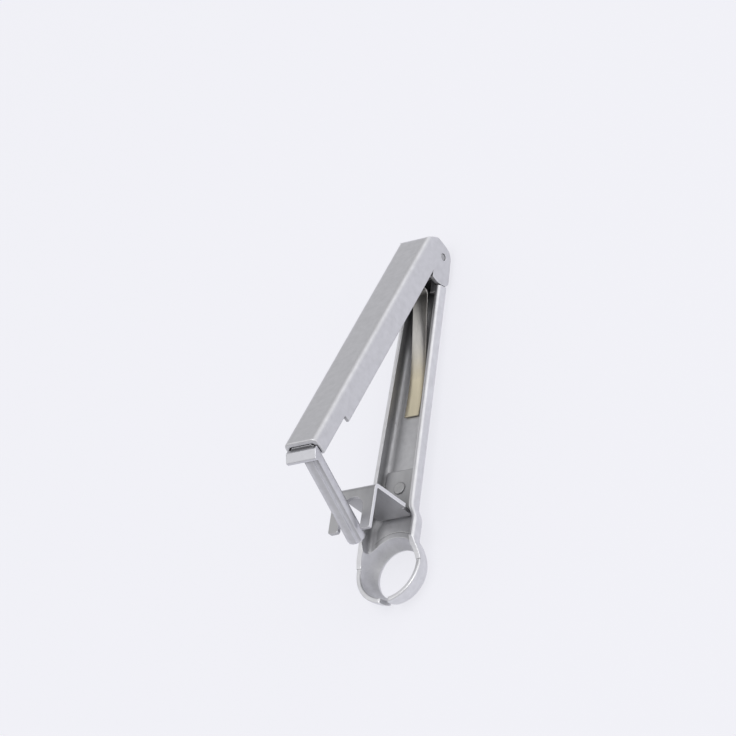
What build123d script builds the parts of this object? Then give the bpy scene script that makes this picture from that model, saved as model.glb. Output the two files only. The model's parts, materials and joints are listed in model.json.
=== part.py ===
from build123d import *
import math
import os

# Hinged hand tool with a ring that holds the fruit and a plunger that pushes the stone out of it.
# Millimetres and degrees. The lever frame has its origin on the pivot axis, +X along the lower
# lever towards the ring, +Y to the left and +Z up. At the end the whole tool is tipped so that
# it stands on the heel of the lower lever and the foot of the ring.

# Hinge
OPEN_ANGLE = 23.5
LANDING_GAP_ANGLE = 0.5
PIN_RADIUS = 1.5
PIN_RUNNING_GAP = 0.05
PIN_SINK = 0.15
PIN_CHAMFER = 0.3
HINGE_SIDE_GAP = 0.15
HEEL_RADIUS = 6.3
HEEL_AHEAD = 1.1
HEEL_BELOW = 1.1

# Lower lever
RAIL_START_HALF_WIDTH = 8.2
RAIL_END_HALF_WIDTH = 10.7
LOWER_WALL = 2.1
LOWER_DEPTH = 7.4
LOWER_FLOOR = 1.6
LOWER_CORNER_RADIUS = 4.5
LOWER_INNER_RADIUS = 2.4
RAIL_ROUNDING = 1.3
RAIL_INNER_ROUNDING = 0.5
RIM_ROUNDING = 0.6
TONGUE_WALL = 1.9
TONGUE_CORNER_RADIUS = 3.0
TONGUE_OVERLAP = 3.0
TONGUE_POCKET_START = 9.0
NECK_INSET = 1.8
NECK_BLEND_BEHIND_RING = 22.3
NECK_BLEND_LENGTH = 4.4
RAIL_STRAIGHT_END_BEHIND_RING = 24.5
NECK_BLEND_RADIUS = 6.0

# Ring at the end of the lower lever
RING_AHEAD_OF_UPPER_LEVER = 8.9
RING_OUTER_RADIUS = 15.0
RING_WALL = 2.0
RING_RIM_DROP = 4.0
RING_OPENING_RADIUS = 10.2
RING_OPENING_HEIGHT = 0.94
RIM_DIP_BEHIND_RING = 9.5
RIM_DIP_LENGTH = 8.5
RIM_DIP_ROUNDING = 5.0
RING_NECK_FILLET = 7.0
RING_SLOT_WIDTH = 3.4
RING_SLOT_CORNER = 3.0
RING_LIP_CORNER = 1.0
RING_FOOT_TRIM = 4.0

# Upper lever
UPPER_LENGTH = 121.6
UPPER_TOP = 10.5
UPPER_TOP_HALF_WIDTH = 7.35
UPPER_FLARE = 0.11
UPPER_WALL = 1.6
UPPER_PLATE = 1.8
UPPER_EDGE_RADIUS = 2.3
UPPER_LOWER_ROUNDING = 0.6
UPPER_INNER_RADIUS = 1.2
UPPER_FRONT_WALL_HEIGHT = 7.2
UPPER_MAIN_WALL_HEIGHT = 9.8
UPPER_STEP_BEHIND_FRONT = 21.1
UPPER_REAR_X = -0.7
UPPER_REAR_SLOPE_X = -4.8
UPPER_REAR_SLOPE_Z = 6.3
UPPER_REAR_ROUNDING = 3.0
EAR_RADIUS = 4.8
EAR_DEPTH = 5.6
EAR_REACH = 11.75
EAR_RAIL_GAP = 0.35
EAR_CORNER = 2.4

# Plunger
PLUNGER_BEHIND_FRONT = 2.9
PLUNGER_LEAN = 6.7
PLUNGER_RADIUS = 3.65
PLUNGER_GROOVE_RADIUS = 1.35
PLUNGER_GROOVE_CENTRE = 4.4
PLUNGER_GROOVES = 4
PLUNGER_FIRST_GROOVE = 45
PLUNGER_LENGTH = 47.4
PLUNGER_TIP_CHAMFER = 0.7
HEAD_TOP_GAP = 0.3
HEAD_FACE_GAP = 0.3
HEAD_NOSE_HALF_WIDTH = 6.9
HEAD_NOSE_TOP = 1.9
HEAD_NOSE_DROP = 0.9
HEAD_NOSE_REACH = 4.9
HEAD_NOSE_DEPTH = 5.5
HEAD_BOTTOM_DEPTH = 6.7
HEAD_ROUNDING = 0.6
HEAD_SIDE_GAP = 0.3
HEAD_TONGUE_LENGTH = 11.4
HEAD_TONGUE_THICKNESS = 2.2

# Rivet that holds the plunger's head from below
BOSS_BEHIND_FRONT = 8.5
BOSS_RADIUS = 3.2
BOSS_HEIGHT = 2.1
HEAD_RIVET_SHANK_RADIUS = 1.2
HEAD_RIVET_SHANK_LENGTH = 4.9
HEAD_RIVET_RADIUS = 2.4
HEAD_RIVET_HEIGHT = 1.0

# Stripper plate
STRIPPER_THICKNESS = 1.6
STRIPPER_BACK_BEHIND_RING = 21.8
STRIPPER_TOP = 22.1
STRIPPER_LENGTH = 18.7
STRIPPER_HALF_WIDTH = 9.65
STRIPPER_SHOULDER = 2.6
STRIPPER_SIDE_GAP = 0.25
STRIPPER_FOOT_LENGTH = 20.5
STRIPPER_INNER_BEND = 0.6
STRIPPER_CORNER = 0.8
FORK_HALF_WIDTH = 5.2
FORK_BACK_AHEAD_OF_PLATE = 4.6

# Rivet that holds the stripper's foot
RIVET_BEHIND_PLATE = 11.2
RIVET_SHANK_RADIUS = 1.6
RIVET_HEAD_RADIUS = 2.6
RIVET_HEAD_HEIGHT = 0.6
RIVET_SINK_RADIUS = 2.6
RIVET_SINK_DEPTH = 0.9
DOME_SHARE = 0.8

# Hairpin leaf spring
SPRING_THICKNESS = 0.6
SPRING_HALF_WIDTH = 3.4
SPRING_BEND_X = 16.3
SPRING_BEND_Z = 2.4
SPRING_BEND_RADIUS = 2.4
SPRING_KNEE_REACH = 30.5
SPRING_LOWER_KNEE_RADIUS = 110.0
SPRING_UPPER_KNEE_RADIUS = 42.0
SPRING_CURL_REACH = 44.7
SPRING_CURL_RADIUS = 60.0
SPRING_TIP_REACH = 49.8
SPRING_TIP_LIFT = 0.3
SPRING_SEAT_GAP = 0.15

# Working allowances of the construction
MARGIN = 40.0
GRIP = 0.01
MIDDLE = 0.5

# Sizes that follow from those above
FLOOR_Z = LOWER_FLOOR - LOWER_DEPTH
MAIN_WALL_BOTTOM = UPPER_TOP - UPPER_MAIN_WALL_HEIGHT
PLATE_UNDERSIDE = UPPER_TOP - UPPER_PLATE
BARREL_TOP = HEEL_RADIUS - HEEL_BELOW
EAR_INNER_HALF_WIDTH = UPPER_TOP_HALF_WIDTH + UPPER_FLARE * (UPPER_TOP - BARREL_TOP) - UPPER_WALL
TONGUE_HALF_WIDTH = EAR_INNER_HALF_WIDTH - HINGE_SIDE_GAP
RAIL_START = EAR_REACH + EAR_RAIL_GAP
POCKET_START = RAIL_START + TONGUE_OVERLAP
UPPER_STEP_X = UPPER_LENGTH - UPPER_STEP_BEHIND_FRONT
PLUNGER_X = UPPER_LENGTH - PLUNGER_BEHIND_FRONT
BOSS_X = UPPER_LENGTH - BOSS_BEHIND_FRONT
RING_X = UPPER_LENGTH + RING_AHEAD_OF_UPPER_LEVER
RING_INNER_RADIUS = RING_OUTER_RADIUS - RING_WALL
BOWL_HEIGHT = math.sqrt(RING_INNER_RADIUS**2 - RING_OPENING_RADIUS**2) + RING_OPENING_HEIGHT
RING_DEPTH = RING_RIM_DROP + BOWL_HEIGHT
RAIL_END = RING_X - RAIL_STRAIGHT_END_BEHIND_RING
NECK_HALF_WIDTH = RING_OUTER_RADIUS - NECK_INSET
NECK_BLEND_START = RING_X - NECK_BLEND_BEHIND_RING
NECK_BLEND_END = NECK_BLEND_START + NECK_BLEND_LENGTH
NECK_MEETS_RING_X = RING_X - math.sqrt(RING_OUTER_RADIUS**2 - NECK_HALF_WIDTH**2)
RIM_DIP_START = RING_X - RIM_DIP_BEHIND_RING
RIM_DIP_END = RIM_DIP_START + RIM_DIP_LENGTH
STRIPPER_BACK_X = RING_X - STRIPPER_BACK_BEHIND_RING
FORK_BACK_X = STRIPPER_BACK_X + FORK_BACK_AHEAD_OF_PLATE
RIVET_X = STRIPPER_BACK_X - RIVET_BEHIND_PLATE
FOOT_SPAN = RING_X - HEEL_AHEAD
FOOT_DROP = RING_DEPTH - HEEL_BELOW
REST_TILT = math.degrees(
    math.atan2(FOOT_DROP, FOOT_SPAN) - math.asin(HEEL_RADIUS / math.hypot(FOOT_SPAN, FOOT_DROP))
)


def rail_half_width(x):
    share = x / RAIL_END
    return RAIL_START_HALF_WIDTH + share * (RAIL_END_HALF_WIDTH - RAIL_START_HALF_WIDTH)


def upper_half_width(z):
    """Outer half width of the upper lever: flared down to the walls' lower edge, upright below it."""
    return UPPER_TOP_HALF_WIDTH + UPPER_FLARE * (UPPER_TOP - max(z, MAIN_WALL_BOTTOM))


def section_plane(x):
    """Plane across the lever at x, with its own x along +Y and its own y along +Z."""
    return Plane(origin=(x, 0, 0), x_dir=(0, 1, 0), z_dir=(1, 0, 0))


def side_plane(y):
    """Plane beside the lever at y, with its own x along +X and its own y along +Z."""
    return Plane(origin=(0, y, 0), x_dir=(1, 0, 0), z_dir=(0, -1, 0))


def side_extrusion(face_sketch, half_width):
    """Solid with the side view of face_sketch, from -half_width to +half_width in Y."""
    return extrude(side_plane(half_width) * face_sketch, 2 * half_width)


def cross_cylinder(radius, half_length, x=0.0, z=0.0):
    """Cylinder along Y, centred on the lever's middle plane."""
    return side_extrusion(Pos(x, z) * Circle(radius), half_length)


def mirrored_outline(upper_points):
    """Face through the points and their mirror images across the X axis."""
    lower_points = [(x, -y) for x, y in reversed(upper_points)]
    return make_face(Polyline(*upper_points, *lower_points, close=True))


def trough_plan(inset, start):
    """Plan view of the lower lever's trough, drawn in by inset on each side."""
    blend = [
        (NECK_BLEND_START, rail_half_width(NECK_BLEND_START) - inset),
        (NECK_BLEND_END, NECK_HALF_WIDTH - inset),
    ]
    plan = mirrored_outline(
        [(start, rail_half_width(start) - inset), *blend, (RING_X, NECK_HALF_WIDTH - inset)]
    )
    corners = [v for v in plan.vertices() if any(math.dist((v.X, abs(v.Y)), q) < GRIP for q in blend)]
    return fillet(corners, NECK_BLEND_RADIUS)


def lengthwise_bottom_edges(shape, z):
    """Edges at height z that don't run straight across the lever."""
    edges = shape.edges().filter_by_position(Axis.Z, z - GRIP, z + GRIP)
    return edges - edges.filter_by(Axis.Y)


def trough(plan, bottom, rounding):
    """Prism from plan down to bottom, with its long lower edges rounded."""
    prism = extrude(Plane.XY.offset(bottom) * plan, -bottom)
    return fillet(lengthwise_bottom_edges(prism, bottom), rounding)


def rim_dip():
    """What is cut away above the front half of the ring, where the rim is lower."""
    outline = make_face(
        Polyline(
            (RIM_DIP_START, MARGIN),
            (RIM_DIP_START, 0),
            (RIM_DIP_END, -RING_RIM_DROP),
            (RING_X + MARGIN, -RING_RIM_DROP),
            (RING_X + MARGIN, MARGIN),
            close=True,
        )
    )
    corner = outline.vertices().sort_by_distance((RIM_DIP_END, -RING_RIM_DROP))[0]
    outline = fillet(corner, RIM_DIP_ROUNDING)
    return side_extrusion(outline, MARGIN)


def foot_cut():
    """Block under the ring, below the plane on which the tool stands."""
    box = Pos(0, 0, -MARGIN) * Box(2 * MARGIN, 2 * MARGIN, 2 * MARGIN)
    return Pos(RING_X, 0, -RING_DEPTH) * Rot(0, REST_TILT, 0) * box


def ring_slot():
    """Slot through the front of the ring, with the corners of both lips rounded."""
    above = Pos(0, MARGIN / 2 - RING_RIM_DROP) * Rectangle(MARGIN, MARGIN)
    below = Pos(0, -MARGIN / 2 - RING_DEPTH) * Rectangle(MARGIN, MARGIN)
    outline = above + below + Rectangle(RING_SLOT_WIDTH, MARGIN)
    half = RING_SLOT_WIDTH / 2
    lower = [v for v in outline.vertices() if math.dist((abs(v.X), v.Y), (half, -RING_DEPTH)) < GRIP]
    outline = fillet(lower, RING_SLOT_CORNER)
    upper = [v for v in outline.vertices() if math.dist((abs(v.X), v.Y), (half, -RING_RIM_DROP)) < GRIP]
    outline = fillet(upper, RING_LIP_CORNER)
    return extrude(section_plane(RING_X + RING_OPENING_RADIUS / 2) * outline, MARGIN)


def outer_plan():
    """Plan view of the whole lower lever, with the neck running softly into the ring."""
    plan = trough_plan(0, 0) + Pos(RING_X, 0) * Circle(RING_OUTER_RADIUS)
    meeting = [v for v in plan.vertices() if abs(v.X - NECK_MEETS_RING_X) < GRIP]
    return fillet(meeting, RING_NECK_FILLET)


def make_ring():
    """Bowl-shaped ring with a rounded rim, open at the bottom, and the collar behind it."""
    bowl = Circle(RING_OUTER_RADIUS) - Circle(RING_INNER_RADIUS)
    kept_height = BOWL_HEIGHT + RING_FOOT_TRIM
    bowl = bowl & Pos(RING_OUTER_RADIUS, -kept_height / 2) * Rectangle(2 * RING_OUTER_RADIUS, kept_height)
    bowl = bowl - Rectangle(2 * RING_OPENING_RADIUS, 2 * MARGIN)
    bowl = fillet(bowl.vertices().group_by(Axis.Y)[-1], RIM_ROUNDING)
    ring = Pos(RING_X, 0, -RING_RIM_DROP) * revolve(Plane.XZ * bowl, Axis.Z)
    collar_height = RING_RIM_DROP + RIM_ROUNDING
    collar = Cylinder(RING_OUTER_RADIUS, collar_height) - Cylinder(RING_INNER_RADIUS, collar_height)
    behind = Pos(RIM_DIP_END - MARGIN, 0, 0) * Box(2 * MARGIN, 2 * MARGIN, 2 * MARGIN)
    return ring + ((Pos(RING_X, 0, -collar_height / 2) * collar) & behind)


def make_tongue():
    """Narrow rear end of the lower lever, which turns between the upper lever's ears."""
    plan = mirrored_outline([(HEEL_AHEAD, TONGUE_HALF_WIDTH), (POCKET_START, TONGUE_HALF_WIDTH)])
    heel = cross_cylinder(HEEL_RADIUS, TONGUE_HALF_WIDTH, HEEL_AHEAD, -HEEL_BELOW)
    return trough(plan, -LOWER_DEPTH, TONGUE_CORNER_RADIUS) + heel


def rail_edges(shape):
    """Lengthwise edges at the top of the rails, up to the dip of the ring's rim."""
    top = shape.edges().filter_by_position(Axis.Z, -GRIP, GRIP)
    lengthwise = [e for e in top if abs((e % MIDDLE).X) > abs((e % MIDDLE).Y)]
    return [e for e in lengthwise if (e @ MIDDLE).X < RIM_DIP_START]


def rounded_rails(blank, pocket):
    """Hollows the trough and rounds its rails: well on the outside and a little on the inside."""
    rails = fillet(rail_edges(blank), RAIL_ROUNDING) - pocket
    mouth = pocket.edges().filter_by_position(Axis.Z, -GRIP, GRIP)
    inner = [e for e in rail_edges(rails) if min(m.distance_to(e @ MIDDLE) for m in mouth) < GRIP]
    return fillet(inner, RAIL_INNER_ROUNDING)


def tongue_pocket():
    """Narrow rear end of the trough's hollow, between the tongue's walls."""
    half_width = TONGUE_HALF_WIDTH - TONGUE_WALL
    plan = mirrored_outline([(TONGUE_POCKET_START, half_width), (POCKET_START + LOWER_WALL, half_width)])
    return trough(plan, FLOOR_Z, TONGUE_WALL)


def make_lower_lever():
    pocket = trough(trough_plan(LOWER_WALL, POCKET_START), FLOOR_Z, LOWER_INNER_RADIUS)
    rails = rounded_rails(trough(outer_plan(), -LOWER_DEPTH, LOWER_CORNER_RADIUS), pocket)
    body = rails - cross_cylinder(RAIL_START, MARGIN) + make_tongue() - tongue_pocket()
    core = Pos(RING_X, 0, 0) * Cylinder(RING_OUTER_RADIUS, 2 * MARGIN)
    body = body - core + (make_ring() - pocket - foot_cut())
    lever = body - (rim_dip() + ring_slot())
    pin_hole = cross_cylinder(PIN_RADIUS + PIN_RUNNING_GAP, MARGIN)
    return lever - pin_hole - stripper_rivet_blank()


def upper_section():
    """Flared channel section of the upper lever, open downwards."""
    low = -EAR_REACH
    outer = [(upper_half_width(z), z) for z in (low, MAIN_WALL_BOTTOM, UPPER_TOP)]
    inner = [(y - UPPER_WALL, z) for y, z in outer[:2]]
    inner.append((upper_half_width(PLATE_UNDERSIDE) - UPPER_WALL, PLATE_UNDERSIDE))
    half = [*reversed(inner), *outer]
    far_half = [(-y, z) for y, z in reversed(half)]
    face = make_face(Polyline(*half, *far_half, close=True))
    top = face.vertices().filter_by_position(Axis.Y, UPPER_TOP - GRIP, UPPER_TOP + GRIP)
    face = fillet(top, UPPER_EDGE_RADIUS)
    under = face.vertices().filter_by_position(Axis.Y, PLATE_UNDERSIDE - GRIP, PLATE_UNDERSIDE + GRIP)
    return fillet(under, UPPER_INNER_RADIUS)


def ear_view():
    """Side view of an ear: a barrel about the pivot and a sector that reaches forward to the rail's end."""
    front = [(EAR_REACH, -EAR_DEPTH), (EAR_REACH, EAR_RADIUS)]
    sector = make_face(Polyline((0, -EAR_RADIUS), *front, (0, EAR_RADIUS), close=True)) & Circle(EAR_REACH)
    corner = sector.vertices().sort_by_distance(front[0])[0]
    return Rot(0, 0, -OPEN_ANGLE) * (fillet(corner, EAR_CORNER) + Circle(EAR_RADIUS))


def upper_side_view():
    front_bottom = UPPER_TOP - UPPER_FRONT_WALL_HEIGHT
    outline = make_face(
        Polyline(
            (UPPER_REAR_X, UPPER_TOP),
            (UPPER_LENGTH, UPPER_TOP),
            (UPPER_LENGTH, front_bottom),
            (UPPER_STEP_X, front_bottom),
            (UPPER_STEP_X, MAIN_WALL_BOTTOM),
            (0, MAIN_WALL_BOTTOM),
            (-EAR_RADIUS, 0),
            (UPPER_REAR_SLOPE_X, UPPER_REAR_SLOPE_Z),
            close=True,
        )
    )
    rear = [outline.vertices().sort_by_distance((UPPER_REAR_X, UPPER_TOP))[0]]
    rear.append(outline.vertices().sort_by_distance((UPPER_REAR_SLOPE_X, UPPER_REAR_SLOPE_Z))[0])
    return fillet(rear, UPPER_REAR_ROUNDING) + ear_view()


def rear_wall_view():
    """Side view of the plate that closes the upper lever's rear end."""
    run = UPPER_REAR_X - UPPER_REAR_SLOPE_X
    rise = UPPER_TOP - UPPER_REAR_SLOPE_Z
    length = math.hypot(run, rise)
    inward_x = UPPER_WALL * rise / length
    inward_z = UPPER_WALL * run / length
    return make_face(
        Polyline(
            (UPPER_REAR_SLOPE_X, UPPER_REAR_SLOPE_Z),
            (UPPER_REAR_X, UPPER_TOP),
            (UPPER_REAR_X + UPPER_PLATE, PLATE_UNDERSIDE),
            (UPPER_REAR_SLOPE_X + inward_x, UPPER_REAR_SLOPE_Z - inward_z),
            close=True,
        )
    )


def rounded_walls(lever):
    """Rounds the lower and front edges of the upper lever's outer faces."""
    def outer(edge):
        middle = edge @ MIDDLE
        on_wall = abs(abs(middle.Y) - upper_half_width(middle.Z)) < GRIP
        return on_wall and middle.X > EAR_REACH + GRIP

    return fillet(lever.edges().filter_by(outer), UPPER_LOWER_ROUNDING)


def make_upper_lever():
    start = -2 * EAR_RADIUS
    bar = extrude(section_plane(start) * upper_section(), UPPER_LENGTH + 2 * MARGIN)
    side_view = upper_side_view()
    rear_half_width = upper_half_width(UPPER_TOP) - UPPER_WALL / 2
    lever = bar & side_extrusion(side_view, MARGIN)
    lever = lever + side_extrusion(rear_wall_view() & side_view, rear_half_width)
    lever = rounded_walls(lever)
    boss_blank = Pos(BOSS_X, 0, PLATE_UNDERSIDE) * Cylinder(BOSS_RADIUS, 2 * BOSS_HEIGHT)
    below_plate = Pos(BOSS_X, 0, PLATE_UNDERSIDE - MARGIN + GRIP) * Box(MARGIN, MARGIN, 2 * MARGIN)
    boss = boss_blank & below_plate
    return lever + boss - cross_cylinder(PIN_RADIUS, MARGIN) - head_rivet_shank()


def head_side_view():
    """Side view of the plunger's head: a tongue under the boss and a nose with a sloped face."""
    nose_back = UPPER_LENGTH + HEAD_FACE_GAP
    tongue_top = PLATE_UNDERSIDE - BOSS_HEIGHT
    block_back = BOSS_X + BOSS_RADIUS + HEAD_FACE_GAP
    bottom = UPPER_TOP - HEAD_BOTTOM_DEPTH
    outline = make_face(
        Polyline(
            (nose_back - HEAD_TONGUE_LENGTH, tongue_top),
            (block_back, tongue_top),
            (block_back, PLATE_UNDERSIDE - HEAD_TOP_GAP),
            (nose_back, PLATE_UNDERSIDE - HEAD_TOP_GAP),
            (nose_back, PLATE_UNDERSIDE - HEAD_TOP_GAP - HEAD_NOSE_DROP),
            (UPPER_LENGTH + HEAD_NOSE_TOP, PLATE_UNDERSIDE - HEAD_TOP_GAP - HEAD_NOSE_DROP),
            (UPPER_LENGTH + HEAD_NOSE_REACH, UPPER_TOP - HEAD_NOSE_DEPTH),
            (UPPER_LENGTH + HEAD_NOSE_REACH - HEAD_ROUNDING, bottom),
            (block_back, bottom),
            (block_back, tongue_top - HEAD_TONGUE_THICKNESS),
            (nose_back - HEAD_TONGUE_LENGTH, tongue_top - HEAD_TONGUE_THICKNESS),
            close=True,
        )
    )
    front = outline.vertices().group_by(Axis.X)[-1]
    return fillet(front, HEAD_ROUNDING)


def make_plunger_head():
    view = head_side_view()
    inner_half_width = upper_half_width(PLATE_UNDERSIDE) - UPPER_WALL - HEAD_SIDE_GAP
    ahead = Pos(UPPER_LENGTH + HEAD_FACE_GAP + MARGIN, 0, 0) * Box(2 * MARGIN, 2 * MARGIN, 2 * MARGIN)
    nose = side_extrusion(view, HEAD_NOSE_HALF_WIDTH) & ahead
    inside = side_extrusion(view, inner_half_width) - ahead
    corners = inside.edges().filter_by(Axis.X).filter_by_position(
        Axis.Z, PLATE_UNDERSIDE - HEAD_TOP_GAP - GRIP, PLATE_UNDERSIDE
    )
    return chamfer(corners, UPPER_INNER_RADIUS) + nose


def make_plunger():
    around = PolarLocations(PLUNGER_GROOVE_CENTRE, PLUNGER_GROOVES, start_angle=PLUNGER_FIRST_GROOVE)
    grooves = around * Circle(PLUNGER_GROOVE_RADIUS)
    rod = extrude(Circle(PLUNGER_RADIUS) - grooves, -PLUNGER_LENGTH)
    blank = Pos(0, 0, -PLUNGER_LENGTH / 2) * Cylinder(PLUNGER_RADIUS, PLUNGER_LENGTH)
    rod = rod & chamfer(blank.edges().group_by(Axis.Z)[0], PLUNGER_TIP_CHAMFER)
    rod = Pos(PLUNGER_X, 0, UPPER_TOP) * Rot(0, -PLUNGER_LEAN, 0) * rod
    head_middle = UPPER_TOP - HEAD_NOSE_DEPTH
    below = Pos(PLUNGER_X, 0, head_middle - MARGIN) * Box(2 * MARGIN, 2 * MARGIN, 2 * MARGIN)
    return make_plunger_head() + (rod & below) - head_rivet_shank()


def head_rivet_shank():
    bottom = PLATE_UNDERSIDE - BOSS_HEIGHT - HEAD_TONGUE_THICKNESS
    middle = bottom + HEAD_RIVET_SHANK_LENGTH / 2
    return Pos(BOSS_X, 0, middle) * Cylinder(HEAD_RIVET_SHANK_RADIUS, HEAD_RIVET_SHANK_LENGTH)


def make_plunger_rivet():
    bottom = PLATE_UNDERSIDE - BOSS_HEIGHT - HEAD_TONGUE_THICKNESS
    head = Pos(BOSS_X, 0, bottom - HEAD_RIVET_HEIGHT / 2) * Cylinder(HEAD_RIVET_RADIUS, HEAD_RIVET_HEIGHT)
    head = fillet(head.edges().group_by(Axis.Z)[0], DOME_SHARE * HEAD_RIVET_HEIGHT)
    return head_rivet_shank() + head


def make_pivot_pin():
    pin = cross_cylinder(PIN_RADIUS, upper_half_width(0) - PIN_SINK)
    ends = pin.edges().filter_by(GeomType.CIRCLE)
    return chamfer(ends, PIN_CHAMFER)


def make_stripper():
    t = STRIPPER_THICKNESS
    back = STRIPPER_BACK_X
    front = back + STRIPPER_LENGTH
    outline = make_face(
        Polyline(
            (back + t - STRIPPER_FOOT_LENGTH, FLOOR_Z),
            (back + t, FLOOR_Z),
            (back + t, STRIPPER_TOP - t),
            (front, STRIPPER_TOP - t),
            (front, STRIPPER_TOP),
            (back, STRIPPER_TOP),
            (back, FLOOR_Z + t),
            (back + t - STRIPPER_FOOT_LENGTH, FLOOR_Z + t),
            close=True,
        )
    )
    for x, z, radius in (
        (back + t, FLOOR_Z, STRIPPER_INNER_BEND + t),
        (back, FLOOR_Z + t, STRIPPER_INNER_BEND),
        (back, STRIPPER_TOP, STRIPPER_INNER_BEND + t),
        (back + t, STRIPPER_TOP - t, STRIPPER_INNER_BEND),
    ):
        corner = outline.vertices().sort_by_distance((x, z))[0]
        outline = fillet(corner, radius)
    plate = side_extrusion(outline, STRIPPER_HALF_WIDTH)
    floor_half_width = rail_half_width(back - STRIPPER_FOOT_LENGTH) - LOWER_WALL - STRIPPER_SIDE_GAP
    flank = make_face(
        Polyline(
            (floor_half_width - LOWER_INNER_RADIUS, FLOOR_Z - t),
            (floor_half_width - LOWER_INNER_RADIUS, FLOOR_Z),
            (floor_half_width, FLOOR_Z + LOWER_INNER_RADIUS),
            (floor_half_width, STRIPPER_SHOULDER),
            (MARGIN, STRIPPER_SHOULDER),
            (MARGIN, FLOOR_Z - t),
            close=True,
        )
    )
    near_flank = extrude(section_plane(back - MARGIN) * flank, 2 * MARGIN)
    plate = plate - near_flank - mirror(near_flank, about=Plane.XZ)
    slot_front = Pos(front, 0) * Rectangle(2 * (front - FORK_BACK_X - FORK_HALF_WIDTH), 2 * FORK_HALF_WIDTH)
    slot = slot_front + Pos(FORK_BACK_X + FORK_HALF_WIDTH, 0) * Circle(FORK_HALF_WIDTH)
    plate -= extrude(Plane.XY.offset(STRIPPER_TOP - 2 * t) * slot, 3 * t)
    front_corners = plate.edges().filter_by(Axis.Z).filter_by_position(Axis.X, front - GRIP, front + GRIP)
    plate = fillet(front_corners, STRIPPER_CORNER)
    return plate - stripper_rivet_blank()


def stripper_rivet_blank():
    """Shank of the foot's rivet with its flared lower end."""
    seat = FLOOR_Z + STRIPPER_THICKNESS
    length = seat + LOWER_DEPTH
    shank = Pos(RIVET_X, 0, seat - length / 2) * Cylinder(RIVET_SHANK_RADIUS, length)
    flare = Cone(RIVET_SINK_RADIUS, RIVET_SHANK_RADIUS, RIVET_SINK_DEPTH)
    return shank + Pos(RIVET_X, 0, -LOWER_DEPTH + RIVET_SINK_DEPTH / 2) * flare


def make_stripper_rivet():
    seat = FLOOR_Z + STRIPPER_THICKNESS
    head = Pos(RIVET_X, 0, seat + RIVET_HEAD_HEIGHT / 2) * Cylinder(RIVET_HEAD_RADIUS, RIVET_HEAD_HEIGHT)
    return stripper_rivet_blank() + fillet(head.edges().group_by(Axis.Z)[-1], DOME_SHARE * RIVET_HEAD_HEIGHT)


def leg_path(centre, seat, side, knee_radius):
    """Centre line of one spring leg, from the bend out. side is -1 for a seat below, 1 for one above."""
    knee = Vector(centre.X + SPRING_KNEE_REACH, seat)
    reach = knee - centre
    angle = math.atan2(reach.Y, reach.X) + side * math.acos(SPRING_BEND_RADIUS / reach.length)
    start = centre + Vector(math.cos(angle), math.sin(angle)) * SPRING_BEND_RADIUS
    curl = Vector(centre.X + SPRING_CURL_REACH, seat)
    tip = Vector(centre.X + SPRING_TIP_REACH, seat - side * SPRING_TIP_LIFT)
    return FilletPolyline(start, knee, curl, tip, radius=[knee_radius, SPRING_CURL_RADIUS])


def make_spring():
    """Hairpin strip: a bend near the pivot and one leg along each lever."""
    half = SPRING_THICKNESS / 2
    centre = Vector(SPRING_BEND_X, SPRING_BEND_Z)
    lower_seat = FLOOR_Z + SPRING_SEAT_GAP + half
    upper_seat = PLATE_UNDERSIDE - SPRING_SEAT_GAP - half
    lower_leg = leg_path(centre, lower_seat, -1, SPRING_LOWER_KNEE_RADIUS)
    upper_leg = leg_path(centre.rotate(Axis.Z, -OPEN_ANGLE), upper_seat, 1, SPRING_UPPER_KNEE_RADIUS)
    upper_leg = Rot(0, 0, OPEN_ANGLE) * upper_leg
    ends = (lower_leg @ 0, upper_leg @ 0)
    chord = (ends[1] - ends[0]).normalized()
    back = centre + Vector(-chord.Y, chord.X) * SPRING_BEND_RADIUS
    bend = ThreePointArc(ends[0], back, ends[1])
    band = trace(lower_leg + bend + upper_leg, SPRING_THICKNESS)
    return side_extrusion(band, SPRING_HALF_WIDTH)


def place_upper(shape):
    """From the upper lever's own frame to the lever frame at rest."""
    return Rot(0, -OPEN_ANGLE, 0) * shape


def stand(shape):
    """Tips the tool so that heel and ring foot are level."""
    return Rot(0, -REST_TILT, 0) * shape


def closing_travel():
    """Turn from rest until the upper lever nearly lands on the stripper's rear edge."""
    wall_bottom = UPPER_TOP - UPPER_FRONT_WALL_HEIGHT
    reach = math.hypot(STRIPPER_BACK_X, STRIPPER_TOP)
    closed = math.atan2(STRIPPER_TOP, STRIPPER_BACK_X) - math.asin(wall_bottom / reach)
    return OPEN_ANGLE - math.degrees(closed) - LANDING_GAP_ANGLE


def main():
    nodes = {
        "lower_lever": make_lower_lever(),
        "stripper": make_stripper(),
        "stripper_rivet": make_stripper_rivet(),
        "spring": make_spring(),
        "upper_lever": place_upper(make_upper_lever()),
        "plunger": place_upper(make_plunger()),
        "plunger_rivet": place_upper(make_plunger_rivet()),
        "pivot_pin": place_upper(make_pivot_pin()),
    }
    nodes = {name: stand(shape) for name, shape in nodes.items()}
    box = Compound(children=[s for shape in nodes.values() for s in shape.solids()]).bounding_box()
    offset = Pos(-(box.min.X + box.max.X) / 2, -(box.min.Y + box.max.Y) / 2, -box.min.Z)
    os.makedirs("parts", exist_ok=True)
    for name, shape in nodes.items():
        export_step(offset * shape, f"parts/{name}.step")
    print("pivot at", offset.position.X, offset.position.Z, "rest tilt", REST_TILT)
    print("closing travel", closing_travel())


main()
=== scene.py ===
import json
import math
from typing import NamedTuple

import bmesh
import bpy
from bpy.props import FloatProperty, FloatVectorProperty, PointerProperty
from mathutils import Matrix, Vector


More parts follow.
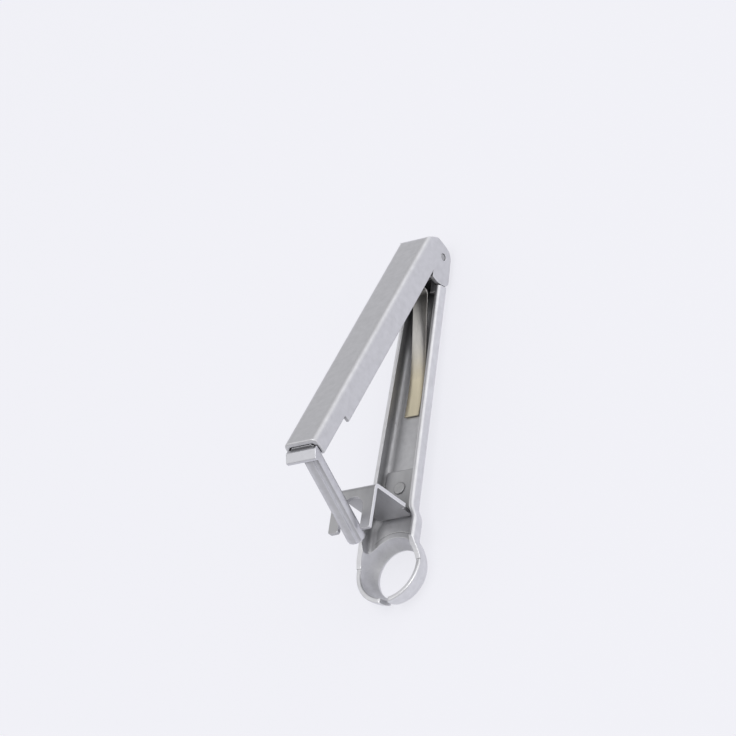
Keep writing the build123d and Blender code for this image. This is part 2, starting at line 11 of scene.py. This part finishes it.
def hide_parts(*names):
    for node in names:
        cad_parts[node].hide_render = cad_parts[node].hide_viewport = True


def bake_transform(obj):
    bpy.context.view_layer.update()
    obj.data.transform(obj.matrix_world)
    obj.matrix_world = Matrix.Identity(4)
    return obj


bl_info = {
    "name": "Cherry pitter finish",
    "version": (1, 0, 0),
    "blender": (4, 5, 0),
    "location": "View3D > Sidebar > Pitter",
    "description": "Metal finishes, spring and studio for a hinged cherry pitter",
    "category": "Object",
}

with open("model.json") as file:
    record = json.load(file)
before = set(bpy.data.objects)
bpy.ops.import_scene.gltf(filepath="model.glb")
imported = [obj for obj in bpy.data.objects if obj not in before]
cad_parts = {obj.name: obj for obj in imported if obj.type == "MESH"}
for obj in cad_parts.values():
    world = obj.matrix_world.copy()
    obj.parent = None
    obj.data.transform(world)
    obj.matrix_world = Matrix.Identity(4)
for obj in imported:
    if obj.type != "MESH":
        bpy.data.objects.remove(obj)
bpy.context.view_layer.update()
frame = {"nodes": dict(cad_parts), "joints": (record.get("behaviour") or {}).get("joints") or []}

MM = 0.001
HINGE = Vector(frame["joints"][0]["pos_m"])
# How far the lower lever is tilted where the open tool stands on a table
REST_TILT = math.radians(2.475325)
# Turns are counter-clockwise seen from the tool's right side, with the ring to the right
TURN_AXIS = (0, -1, 0)
LEVER_TO_ROOM = Matrix.Translation(HINGE) @ Matrix.Rotation(REST_TILT, 4, TURN_AXIS)

# The strip's bend near the hinge and its legs, in millimetres and degrees of the lower lever's
# frame, which starts at the hinge. A heading is the way that a leg leaves the bend.
# A run of a leg is (length, 0) where it is straight and (radius, turn) where it is curved.
BEND_CENTRE = (16.3, 0, 2.4)
BEND_RADIUS = 2.4
LOWER_HEADING = -9.8831
UPPER_HEADING = 41.6907
LOWER_RUNS = ((21.8669, 0), (110.0, 9.8831), (2.9261, 0), (60.0, 3.3665), (3.3456, 0))
UPPER_RUNS = ((26.1693, 0), (42.0, -18.1907), (5.713, 0), (60.0, -3.3665), (3.3456, 0))

# About how long a slice of the strip is, in millimetres, and how far one turns, in degrees
SLICE = 1.6
SLICE_TURN = 9
# The strip's section has rolled corners of this many facets
CORNER_FACETS = 3
# Points of the strip this near to each other become one
WELD = 0.001 * MM
# Edges of the strip that turn by more than this are shaded sharp
SMOOTH_ANGLE = math.radians(40)

# How far from the bend's centre the strip's straw tint starts and is full, in millimetres. Nearer
# the bend the strip keeps its whitish colour, which is a painted highlight.
HIGHLIGHT_FADE_START = 15
HIGHLIGHT_FADE_FULL = 36

# A metal's blotches and polished edges, and the painted shade in its hollows and creases, as
# shares of its own colour
BLOTCH_SHARE = 0.92
POLISH_SHARE = 1.35
HOLLOW_SHADE_SHARE = 0.2
CREASE_SHADE_SHARE = 0.25
# No shade of a metal is brighter than this
BRIGHTEST = 0.92

# How the roughness changes: up and down over the blotches, down on an edge, up in a hollow
BLOTCH_ROUGHNESS = 0.05
EDGE_SMOOTHNESS = 0.1
HOLLOW_ROUGHNESS = 0.3

# How alike the true and the softened normal are where an edge's polish starts and is full
EDGE_START = 0.99
EDGE_FULL = 0.88

# How far off a crease's walls are looked for, and its openness where its painted shade is darkest
# and where it has none
CREASE_REACH = 3 * MM
CREASE_SHADED_OPENNESS = 0.5
CREASE_UNSHADED_OPENNESS = 0.9

# The grain group: height of its waves over its grain, scale of its blotches over its waves', and
# the noise values between which a blotch goes from none to full
WAVE_HEIGHT = 3.0
BLOTCH_SCALE = 2.6
BLOTCH_NONE = 0.3
BLOTCH_FULL = 0.7

BUMP_STRENGTH = 0.5
# Rays of each Bevel and Ambient Occlusion node
RAYS = 8

SHEET_ROUGHNESS = 0.36
PIN_ROUGHNESS = 0.38
STRIP_ROUGHNESS = 0.2
STRIP_EDGE_RADIUS = 0.1 * MM

# The stripper's sheared edges: how much brighter they are, and how squarely a face looks sideways
# where it starts to be one and where it is one
CUT_SHARE = 1.75
CUT_START = 0.6
CUT_FULL = 0.9

# The room's glows: the way to each, and how many degrees off it the glow is still full and is gone
LOW_GLOW = ((-0.5, 0.85, 0.1), 25, 70)
HIGH_GLOW = ((0.0, -0.6, 0.8), 15, 50)

# The main lamp's place, the point that it looks at and its side
KEY_PLACE = (0.05, 0.1, 1.3)
KEY_AIM = (0, 0, 0.03)
KEY_SIZE = 0.7
# How far the floor goes each way from the object's middle
FLOOR_REACH = 4.0
# How much of the floor's look is its plain colour; the rest is paper that takes the shadow
PLAIN_SHARE = 0.82

# The camera as fitted to the photograph, with its lens and sensor in millimetres
CAMERA_PLACE = (0.653875, 0.911153, 1.142264)
CAMERA_RIGHT = (-0.109288, 0.798736, -0.591673)
CAMERA_UP = (-0.900725, 0.172179, 0.398809)
CAMERA_LENS = 202.70
SENSOR_WIDTH = 36.0


class Skin(NamedTuple):
    """How a metal's skin looks up close. Sizes are in metres.

    grain and waves are the sizes of its fine and its slow unevenness, and depth is how deep they
    are. A spot's openness to the room, as far as reach from it, goes from 0 to 1: up to the lower
    limit the metal has its darkest painted shade and is roughest, and from plain on it has
    neither.
    lay scales the grain's coordinates, so the grain is longer along an axis where it is below 1.
    so the grain is longer along an axis where it is below 1."""

    grain: float
    waves: float
    depth: float
    dull_and_shaded: float = 0.35
    plain: float = 0.88
    reach: float = 15 * MM
    lay: tuple = (1, 1, 1)


# Rolled metal's grain is drawn out along X and Z, the way that the strip and the plate run
ROLLED = (0.15, 1, 0.15)

# Each skin's openness limits and reach set how far its hollows get painted shade and more
# roughness
LOWER_SKIN = Skin(grain=0.35 * MM, waves=7 * MM, depth=0.02 * MM, dull_and_shaded=0.42, plain=0.92)
UPPER_SKIN = Skin(grain=0.35 * MM, waves=7 * MM, depth=0.02 * MM)
PLUNGER_SKIN = Skin(grain=0.4 * MM, waves=5 * MM, depth=0.02 * MM)
SHEET_SKIN = Skin(grain=0.3 * MM, waves=6 * MM, depth=0.012 * MM, dull_and_shaded=0.4, plain=0.95,
                  reach=20 * MM, lay=ROLLED)
PIN_SKIN = Skin(grain=0.3 * MM, waves=3 * MM, depth=0.012 * MM)
STRIP_SKIN = Skin(grain=0.25 * MM, waves=4 * MM, depth=0.002 * MM, dull_and_shaded=0.66, plain=1.0,
                  reach=30 * MM, lay=ROLLED)


class PitterFinish(bpy.types.PropertyGroup):
    # The two levers are the same die-cast metal: the lower lever's lighter colour and the upper
    # lever's darker one are painted light and shade
    lower_colour: FloatVectorProperty(
        name="Lower lever colour", description="Colour of the die-cast lower lever",
        subtype="COLOR", size=3, min=0, max=1, default=(0.73, 0.73, 0.755))
    upper_colour: FloatVectorProperty(
        name="Upper lever colour", description="Colour of the die-cast upper lever",
        subtype="COLOR", size=3, min=0, max=1, default=(0.645, 0.645, 0.67))
    cast_roughness: FloatProperty(
        name="Cast roughness", description="How soft the reflections on the castings are",
        subtype="FACTOR", min=0, max=1, default=0.42)
    rod_colour: FloatVectorProperty(
        name="Plunger colour", description="Colour of the plunger",
        subtype="COLOR", size=3, min=0, max=1, default=(0.63, 0.63, 0.665))
    sheet_colour: FloatVectorProperty(
        name="Sheet colour", description="Colour of the bent stripper plate",
        subtype="COLOR", size=3, min=0, max=1, default=(0.45, 0.45, 0.465))
    pin_colour: FloatVectorProperty(
        name="Pin colour", description="Colour of the hinge pin and the rivets",
        subtype="COLOR", size=3, min=0, max=1, default=(0.42, 0.42, 0.43))
    # Near its bend the strip shows this whitish colour as a painted highlight; further on it is
    # tinted to the tempered colour
    strip_highlight_colour: FloatVectorProperty(
        name="Spring colour", description="Colour of the spring strip near its bend",
        subtype="COLOR", size=3, min=0, max=1, default=(0.81, 0.79, 0.76))
    tempered_colour: FloatVectorProperty(
        name="Tempered colour", description="Straw tint left by tempering near the strip's tips",
        subtype="COLOR", size=3, min=0, max=1, default=(0.665, 0.6, 0.455))
    edge_radius: FloatProperty(
        name="Edge radius", description="Softness of the tumbled edges",
        unit="LENGTH", min=0, max=0.005, default=0.35 * MM)


class PitterSpring(bpy.types.PropertyGroup):
    width: FloatProperty(
        name="Strip width", description="Width of the spring strip",
        unit="LENGTH", min=0.001, max=0.02, default=6.8 * MM)
    thickness: FloatProperty(
        name="Strip thickness", description="Thickness of the spring strip",
        unit="LENGTH", min=0.0002, max=0.002, default=0.6 * MM)
    edge: FloatProperty(
        name="Rolled edge", description="Radius of the strip's rolled edges",
        unit="LENGTH", min=0.00002, max=0.001, default=0.18 * MM)


class PitterStudio(bpy.types.PropertyGroup):
    floor_colour: FloatVectorProperty(
        name="Floor colour", description="Colour that the camera sees behind the object",
        subtype="COLOR", size=3, min=0, max=1, default=(0.871, 0.871, 0.92))
    room: FloatProperty(
        name="Room light", description="Brightness of the room all round",
        min=0, max=4, default=0.61)
    low_glow: FloatProperty(
        name="Low glow", description="Extra brightness low on the near side, past the hinge",
        min=0, max=4, default=0.7)
    high_glow: FloatProperty(
        name="High glow", description="Extra brightness high over the far side",
        min=0, max=4, default=0.28)
    key_power: FloatProperty(
        name="Key lamp", description="Power of the main lamp",
        unit="POWER", min=0, max=200, default=5.0)


def add(tree, kind, inputs, **settings):
    """Adds a node with its settings. An input takes a value or another node's output."""
    made = tree.nodes.new("ShaderNode" + kind)
    for name, value in settings.items():
        setattr(made, name, value)
    for name, value in inputs.items():
        if isinstance(value, bpy.types.NodeSocket):
            tree.links.new(value, made.inputs[name])
        else:
            made.inputs[name].default_value = value
    return made


def ramp(tree, value, none, full):
    """0 where value is none, rising to 1 where it is full."""
    ranged = add(tree, "MapRange", {"Value": value, "From Min": none, "From Max": full})
    return ranged.outputs["Result"]


def mix_colours(tree, share, first, second):
    """First at a share of 0, second at 1. A Mix node's colours are its sockets 6 and 7."""
    mixed = add(tree, "Mix", {0: share, 6: first, 7: second}, data_type="RGBA")
    return mixed.outputs[2]


def opaque(colour):
    return (*colour, 1.0)


def shade(colour, share):
    return opaque([min(BRIGHTEST, share * part) for part in colour])


def group_with(name, inputs, outputs):
    """An empty node group with the named sockets, and its two end nodes."""
    group = bpy.data.node_groups.new(name, "ShaderNodeTree")
    for direction, sockets in (("INPUT", inputs), ("OUTPUT", outputs)):
        for socket, kind in sockets.items():
            group.interface.new_socket(
                name=socket, in_out=direction, socket_type="NodeSocket" + kind)
    return group, group.nodes.new("NodeGroupInput"), group.nodes.new("NodeGroupOutput")


def metal_grain():
    """Node group: a metal skin's fine grain on slow waves, as a height, and its blotches."""
    group, start, end = group_with(
        "Metal grain", {"Vector": "Vector", "Grain": "Float", "Waves": "Float"},
        {"Height": "Float", "Mottle": "Float"})
    place, fine, slow = (start.outputs[name] for name in ("Vector", "Grain", "Waves"))
    grain = add(group, "TexNoise", {"Vector": place, "Scale": fine, "Detail": 4.0})
    waves = add(group, "TexNoise", {"Vector": place, "Scale": slow, "Detail": 2.0})
    height = add(group, "Math", {
        0: waves.outputs["Fac"], 1: WAVE_HEIGHT, 2: grain.outputs["Fac"]},
        operation="MULTIPLY_ADD")
    scale = add(group, "Math", {0: slow, 1: BLOTCH_SCALE}, operation="MULTIPLY")
    blotches = add(group, "TexNoise", {"Vector": place, "Scale": scale.outputs[0], "Detail": 3.0})
    mottle = ramp(group, blotches.outputs["Fac"], BLOTCH_NONE, BLOTCH_FULL)
    group.links.new(height.outputs[0], end.inputs["Height"])
    group.links.new(mottle, end.inputs["Mottle"])
    return group


def edge_wear():
    """Node group: a mask of the edges of one radius, and the normal that rounds them."""
    group, start, end = group_with(
        "Edge wear", {"Radius": "Float"}, {"Edge": "Float", "Normal": "Vector"})
    soft = add(group, "Bevel", {"Radius": start.outputs["Radius"]}, samples=RAYS)
    true = add(group, "NewGeometry", {})
    alike = add(group, "VectorMath", {0: soft.outputs["Normal"], 1: true.outputs["Normal"]},
                operation="DOT_PRODUCT")
    edge = ramp(group, alike.outputs["Value"], EDGE_START, EDGE_FULL)
    group.links.new(edge, end.inputs["Edge"])
    group.links.new(soft.outputs["Normal"], end.inputs["Normal"])
    return group


def openness():
    """Node group: how open a spot is to the room as far as a reach, from closed to open."""
    group, start, end = group_with(
        "Openness", {"Reach": "Float", "Closed": "Float", "Open": "Float"}, {"Share": "Float"})
    around = add(group, "AmbientOcclusion", {"Distance": start.outputs["Reach"]},
                 samples=RAYS, only_local=True)
    share = ramp(group, around.outputs["AO"], start.outputs["Closed"], start.outputs["Open"])
    group.links.new(share, end.inputs["Share"])
    return group


GROUPS = {"Metal grain": metal_grain, "Edge wear": edge_wear, "Openness": openness}


def place_group(tree, name, inputs):
    """Places a shared node group in a material and returns its outputs. It is built once."""
    shared = bpy.data.node_groups.get(name) or GROUPS[name]()
    return add(tree, "Group", inputs, node_tree=shared).outputs


def metal(name, colour, roughness, edge_radius, skin):
    """Satin metal with grain, blotches, polished edges and rougher hollows, and painted shade in
    its hollows and creases.
    """
    material = bpy.data.materials.new(name)
    material.use_nodes = True
    tree = material.node_tree
    shader = tree.nodes["Principled BSDF"]
    place = add(tree, "TexCoord", {}).outputs["Object"]
    laid = add(tree, "Mapping", {"Vector": place, "Scale": skin.lay}).outputs["Vector"]
    grain = place_group(tree, "Metal grain", {
        "Vector": laid, "Grain": 1 / skin.grain, "Waves": 1 / skin.waves})
    wear = place_group(tree, "Edge wear", {"Radius": edge_radius})
    mottle, edge = grain["Mottle"], wear["Edge"]
    plain = place_group(tree, "Openness", {
        "Reach": skin.reach, "Closed": skin.dull_and_shaded, "Open": skin.plain})["Share"]

    base = mix_colours(tree, mottle, shade(colour, BLOTCH_SHARE), opaque(colour))
    polished = mix_colours(tree, edge, base, shade(colour, POLISH_SHARE))
    # Painted shade: the colour darkens where a spot is closed in, as far as the skin's reach
    shaded_hollows = mix_colours(tree, plain, shade(colour, HOLLOW_SHADE_SHARE), polished)
    # Painted shade: the colour darkens further in tight creases
    crease_open = place_group(tree, "Openness", {
        "Reach": CREASE_REACH, "Closed": CREASE_SHADED_OPENNESS, "Open": CREASE_UNSHADED_OPENNESS})["Share"]
    shaded_creases = mix_colours(tree, crease_open, shade(colour, CREASE_SHADE_SHARE), shaded_hollows)
    tree.links.new(shaded_creases, shader.inputs["Base Color"])

    rough = add(tree, "MapRange", {
        "Value": mottle, "To Min": roughness + BLOTCH_ROUGHNESS,
        "To Max": roughness - BLOTCH_ROUGHNESS})
    smoother = add(tree, "Math", {
        0: edge, 1: -EDGE_SMOOTHNESS, 2: rough.outputs["Result"]}, operation="MULTIPLY_ADD")
    # A Mix node's numbers are its sockets 2 and 3
    rougher = add(tree, "Mix", {
        0: plain, 2: roughness + HOLLOW_ROUGHNESS, 3: smoother.outputs[0]})
    tree.links.new(rougher.outputs[0], shader.inputs["Roughness"])

    shader.inputs["Metallic"].default_value = 1.0
    bump = add(tree, "Bump", {
        "Strength": BUMP_STRENGTH, "Distance": skin.depth, "Height": grain["Height"],
        "Normal": wear["Normal"]})
    tree.links.new(bump.outputs["Normal"], shader.inputs["Normal"])
    return material


def tint(material, share, ratio):
    """Multiplies a metal's colour by ratio where share is 1, and leaves it where share is 0."""
    tree = material.node_tree
    base = tree.nodes["Principled BSDF"].inputs["Base Color"]
    wash = mix_colours(tree, share, (1, 1, 1, 1), opaque(ratio))
    both = add(tree, "Mix", {0: 1.0, 6: base.links[0].from_socket, 7: wash},
               data_type="RGBA", blend_type="MULTIPLY")
    tree.links.new(both.outputs[2], base)


def dress(material, *nodes):
    """Gives CAD nodes their material."""
    for name in nodes:
        slots = frame["nodes"][name].data.materials
        slots.clear()
        slots.append(material)


class PITTER_OT_levers(bpy.types.Operator):
    """Gives the two cast levers their tumbled finish"""

    bl_idname = "pitter.levers"
    bl_label = "Finish the levers"

    def execute(self, context):
        finish = context.scene.pitter_finish
        # The lighter lower and darker upper colours are painted light and shade on one metal
        lower = metal("Tumbled lower casting", finish.lower_colour, finish.cast_roughness,
                      finish.edge_radius, LOWER_SKIN)
        upper = metal("Tumbled upper casting", finish.upper_colour, finish.cast_roughness,
                      finish.edge_radius, UPPER_SKIN)
        dress(lower, "lower_lever")
        dress(upper, "upper_lever")
        return {"FINISHED"}


class PITTER_OT_plunger(bpy.types.Operator):
    """Gives the plunger and its head their cast finish"""

    bl_idname = "pitter.plunger"
    bl_label = "Finish the plunger"

    def execute(self, context):
        finish = context.scene.pitter_finish
        cast = metal("Plunger casting", finish.rod_colour, finish.cast_roughness,
                     finish.edge_radius, PLUNGER_SKIN)
        dress(cast, "plunger")
        return {"FINISHED"}


class PITTER_OT_stripper(bpy.types.Operator):
    """Gives the bent stripper plate its rolled faces and sheared edges"""

    bl_idname = "pitter.stripper"
    bl_label = "Finish the stripper"

    def execute(self, context):
        finish = context.scene.pitter_finish
        sheet = metal("Rolled sheet", finish.sheet_colour, SHEET_ROUGHNESS, finish.edge_radius,
                      SHEET_SKIN)
        tree = sheet.node_tree
        facing = add(tree, "SeparateXYZ", {0: add(tree, "TexCoord", {}).outputs["Normal"]})
        sideways = add(tree, "Math", {0: facing.outputs["Y"]}, operation="ABSOLUTE")
        cut = ramp(tree, sideways.outputs[0], CUT_START, CUT_FULL)
        tint(sheet, cut, (CUT_SHARE, CUT_SHARE, CUT_SHARE))
        dress(sheet, "stripper")
        return {"FINISHED"}


class PITTER_OT_pins(bpy.types.Operator):
    """Gives the hinge pin and the rivets their drawn finish"""

    bl_idname = "pitter.pins"
    bl_label = "Finish the pins"

    def execute(self, context):
        finish = context.scene.pitter_finish
        drawn = metal("Drawn pin", finish.pin_colour, PIN_ROUGHNESS, finish.edge_radius, PIN_SKIN)
        dress(drawn, "pivot_pin", "plunger_rivet", "stripper_rivet")
        return {"FINISHED"}


def strip_outline(settings):
    """Edges of the strip's section, with its corners rolled. It stands at the origin, across X."""
    shape = bmesh.new()
    bmesh.ops.create_grid(shape, x_segments=1, y_segments=1, size=0.5)
    bmesh.ops.scale(shape, vec=(settings.thickness, settings.width, 1), verts=shape.verts)
    bmesh.ops.bevel(shape, geom=shape.verts[:], offset=settings.edge, segments=CORNER_FACETS,
                    profile=0.5, affect="VERTICES", material=-1)
    bmesh.ops.delete(shape, geom=shape.faces[:], context="FACES_ONLY")
    # The thickness lies along X here, and has to lie along Z
    bmesh.ops.rotate(shape, matrix=Matrix.Rotation(math.radians(90), 3, "Y"), verts=shape.verts)
    return shape


def spin_on(shape, ring, centre, radius, angle):
    """Carries the open edges round a centre and returns the new open edges."""
    steps = max(2, round(abs(math.degrees(angle)) / SLICE_TURN),
                round(abs(angle) * radius / (SLICE * MM)))
    spun = bmesh.ops.spin(
        shape, geom=ring, cent=centre, axis=TURN_AXIS, angle=angle, steps=steps)
    return [e for e in spun["geom_last"] if isinstance(e, bmesh.types.BMEdge)]


def draw_leg(shape, ring, place, heading, runs):
    """Carries the open edges along one leg's runs and closes its tip."""
    for size, turn in runs:
        along = Vector((math.cos(heading), 0, math.sin(heading)))
        if turn:
            angle = math.radians(turn)
            left = Vector((-along.z, 0, along.x)) * math.copysign(size * MM, turn)
            centre = place + left
            ring = spin_on(shape, ring, centre, size * MM, angle)
            place = centre - Matrix.Rotation(angle, 3, TURN_AXIS) @ left
            heading += angle
        else:
            steps = max(1, round(size / SLICE))
            step = along * size * MM / steps
            for _ in range(steps):
                grown = bmesh.ops.extrude_edge_only(shape, edges=ring)["geom"]
                points = [v for v in grown if isinstance(v, bmesh.types.BMVert)]
                bmesh.ops.translate(shape, vec=step, verts=points)
                ring = [e for e in grown if isinstance(e, bmesh.types.BMEdge) and e.is_boundary]
            place = place + step * steps
    bmesh.ops.contextual_create(shape, geom=ring)


def strip_shape(settings):
    """The whole strip in its place: its bend, and a leg drawn out from each end of the bend."""
    lower, upper = math.radians(LOWER_HEADING), math.radians(UPPER_HEADING)
    centre = Vector(BEND_CENTRE) * MM
    lower_end = centre + Vector((math.sin(lower), 0, -math.cos(lower))) * BEND_RADIUS * MM
    shape = strip_outline(settings)
    bmesh.ops.rotate(shape, matrix=Matrix.Rotation(lower, 3, TURN_AXIS), verts=shape.verts)
    bmesh.ops.translate(shape, vec=lower_end, verts=shape.verts)
    first = shape.edges[:]
    bend = upper - lower - math.pi
    last = spin_on(shape, first, centre, BEND_RADIUS * MM, bend)
    upper_end = centre + Matrix.Rotation(bend, 3, TURN_AXIS) @ (lower_end - centre)
    draw_leg(shape, first, lower_end, lower, LOWER_RUNS)
    draw_leg(shape, last, upper_end, upper, UPPER_RUNS)
    bmesh.ops.remove_doubles(shape, verts=shape.verts, dist=WELD)
    bmesh.ops.recalc_face_normals(shape, faces=shape.faces)
    bmesh.ops.transform(shape, matrix=LEVER_TO_ROOM, verts=shape.verts)
    return shape


def fade_highlight_to_temper(material, finish):
    """Tints the strip from its whitish colour near the bend, which is a painted highlight, to its
    tempered straw colour further on.
    """
    tree = material.node_tree
    place = add(tree, "SeparateXYZ", {0: add(tree, "TexCoord", {}).outputs["Object"]})
    bend = BEND_CENTRE[0] * MM + HINGE.x
    share = add(tree, "MapRange", {
        "Value": place.outputs["X"], "From Min": bend + HIGHLIGHT_FADE_START * MM,
        "From Max": bend + HIGHLIGHT_FADE_FULL * MM}, interpolation_type="SMOOTHSTEP")
    ratio = [tinted / plain for tinted, plain in zip(finish.tempered_colour, finish.strip_highlight_colour)]
    tint(material, share.outputs["Result"], ratio)


def new_piece(name, shape, material):
    """Makes a finished shape an object in the scene."""
    mesh = bpy.data.meshes.new(name)
    shape.to_mesh(mesh)
    shape.free()
    for face in mesh.polygons:
        face.use_smooth = True
    mesh.set_sharp_from_angle(angle=SMOOTH_ANGLE)
    mesh.materials.append(material)
    piece = bpy.data.objects.new(name, mesh)
    bpy.context.scene.collection.objects.link(piece)
    return piece


class PITTER_OT_spring(bpy.types.Operator):
    """Builds the hairpin strip between the levers in one fixed shape, and hides the CAD spring"""

    bl_idname = "pitter.spring"
    bl_label = "Build the spring"

    def execute(self, context):
        finish = context.scene.pitter_finish
        shape = strip_shape(context.scene.pitter_spring)
        steel = metal("Spring strip", finish.strip_highlight_colour, STRIP_ROUGHNESS, STRIP_EDGE_RADIUS,
                      STRIP_SKIN)
        # Whitish near the bend as a painted highlight, straw-tinted towards the tips
        fade_highlight_to_temper(steel, finish)
        piece = new_piece("spring_strip", shape, steel)
        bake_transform(piece)
        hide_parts("spring")
        return {"FINISHED"}


def glow(tree, way, spot, strength):
    """Light from around one direction: strength near it, fading to nothing further off."""
    towards, full, gone = spot
    near = add(tree, "VectorMath", {0: way, 1: Vector(towards).normalized()},
               operation="DOT_PRODUCT")
    fade = add(tree, "MapRange", {
        "Value": near.outputs["Value"], "From Min": math.cos(math.radians(gone)),
        "From Max": math.cos(math.radians(full)), "To Max": strength},
        interpolation_type="SMOOTHSTEP")
    return fade.outputs["Result"]


def room_light(studio):
    """World light: even all round, with two glows. The camera sees the floor's colour."""
    world = bpy.data.worlds.new("Room")
    bpy.context.scene.world = world
    world.use_nodes = True
    tree = world.node_tree
    tree.nodes.clear()
    way = add(tree, "TexCoord", {}).outputs["Generated"]
    low = glow(tree, way, LOW_GLOW, studio.low_glow)
    high = glow(tree, way, HIGH_GLOW, studio.high_glow)
    even = add(tree, "Math", {0: high, 1: studio.room}, operation="ADD")
    total = add(tree, "Math", {0: even.outputs[0], 1: low}, operation="ADD")
    light = add(tree, "Background", {"Color": (1, 1, 1, 1), "Strength": total.outputs[0]})
    shown = add(tree, "Background", {"Color": opaque(studio.floor_colour), "Strength": 1.0})
    seen = add(tree, "LightPath", {}).outputs["Is Camera Ray"]
    mixed = add(tree, "MixShader", {0: seen, 1: light.outputs[0], 2: shown.outputs[0]})
    add(tree, "OutputWorld", {"Surface": mixed.outputs[0]})


def floor_material(studio):
    """Pale paper: it takes the object's shadow, and shows its own colour to camera and gloss."""
    material = bpy.data.materials.new("Pale paper")
    material.use_nodes = True
    tree = material.node_tree
    tree.nodes.clear()
    paper = add(tree, "BsdfDiffuse", {"Color": opaque(studio.floor_colour)})
    shown = add(tree, "Emission", {"Color": opaque(studio.floor_colour), "Strength": 1.0})
    path = add(tree, "LightPath", {}).outputs
    straight = add(tree, "Math", {0: path["Is Camera Ray"], 1: path["Is Glossy Ray"]},
                   operation="ADD")
    through = add(tree, "Math", {0: straight.outputs[0], 1: path["Is Transmission Ray"]},
                  operation="ADD", use_clamp=True)
    share = add(tree, "Math", {0: through.outputs[0], 1: PLAIN_SHARE}, operation="MULTIPLY")
    mixed = add(tree, "MixShader", {0: share.outputs[0], 1: paper.outputs[0], 2: shown.outputs[0]})
    add(tree, "OutputMaterial", {"Surface": mixed.outputs[0]})
    return material


def lay_floor(studio):
    """A flat floor under the object, which is part of the stage."""
    shape = bmesh.new()
    bmesh.ops.create_grid(shape, x_segments=2, y_segments=2, size=FLOOR_REACH)
    mesh = bpy.data.meshes.new("floor")
    shape.to_mesh(mesh)
    shape.free()
    mesh.materials.append(floor_material(studio))
    floor = bpy.data.objects.new("floor", mesh)
    bpy.context.scene.collection.objects.link(floor)


def hang_lamp(studio):
    """One square soft lamp over the object."""
    lamp = bpy.data.lights.new("key_lamp", "AREA")
    lamp.energy = studio.key_power
    lamp.size = KEY_SIZE
    holder = bpy.data.objects.new("key_lamp", lamp)
    holder.location = KEY_PLACE
    down = Vector(KEY_AIM) - Vector(KEY_PLACE)
    holder.rotation_euler = down.to_track_quat("-Z", "Y").to_euler()
    bpy.context.scene.collection.objects.link(holder)


def place_camera():
    """The camera at the photograph's viewing angle."""
    view = bpy.data.cameras.new("camera")
    view.lens = CAMERA_LENS
    view.sensor_width = SENSOR_WIDTH
    view.clip_start = 0.05
    view.clip_end = 20.0
    camera = bpy.data.objects.new("camera", view)
    right, up = Vector(CAMERA_RIGHT), Vector(CAMERA_UP)
    turned = Matrix((right, up, right.cross(up))).transposed()
    camera.matrix_world = Matrix.Translation(CAMERA_PLACE) @ turned.to_4x4()
    bpy.context.scene.collection.objects.link(camera)
    bpy.context.scene.camera = camera


class PITTER_OT_stage(bpy.types.Operator):
    """Sets the floor, the light and the camera"""

    bl_idname = "pitter.stage"
    bl_label = "Set the stage"

    def execute(self, context):
        studio = context.scene.pitter_studio
        lay_floor(studio)
        room_light(studio)
        hang_lamp(studio)
        place_camera()
        context.scene.view_settings.view_transform = "Standard"
        return {"FINISHED"}


class PITTER_PT_panel(bpy.types.Panel):
    """Lists the steps and the settings of the finishes, the spring and the stage"""

    bl_idname = "PITTER_PT_panel"
    bl_label = "Cherry pitter"
    bl_space_type = "VIEW_3D"
    bl_region_type = "UI"
    bl_category = "Pitter"

    def draw(self, context):
        layout = self.layout
        scene = context.scene
        for step in STEPS:
            layout.operator(step.bl_idname)
        for settings in (scene.pitter_finish, scene.pitter_spring, scene.pitter_studio):
            for name in settings.__annotations__:
                layout.prop(settings, name)


STEPS = (PITTER_OT_levers, PITTER_OT_plunger, PITTER_OT_stripper, PITTER_OT_pins,
         PITTER_OT_spring, PITTER_OT_stage)
CLASSES = (PitterFinish, PitterSpring, PitterStudio, *STEPS, PITTER_PT_panel)


def register():
    for kind in CLASSES:
        bpy.utils.register_class(kind)
    bpy.types.Scene.pitter_finish = PointerProperty(type=PitterFinish)
    bpy.types.Scene.pitter_spring = PointerProperty(type=PitterSpring)
    bpy.types.Scene.pitter_studio = PointerProperty(type=PitterStudio)


def unregister():
    del bpy.types.Scene.pitter_studio
    del bpy.types.Scene.pitter_spring
    del bpy.types.Scene.pitter_finish
    for kind in reversed(CLASSES):
        bpy.utils.unregister_class(kind)


def main():
    register()
    bpy.ops.pitter.levers()
    bpy.ops.pitter.plunger()
    bpy.ops.pitter.stripper()
    bpy.ops.pitter.pins()
    bpy.ops.pitter.spring()
    bpy.ops.pitter.stage()


if __name__ == "__main__":
    main()
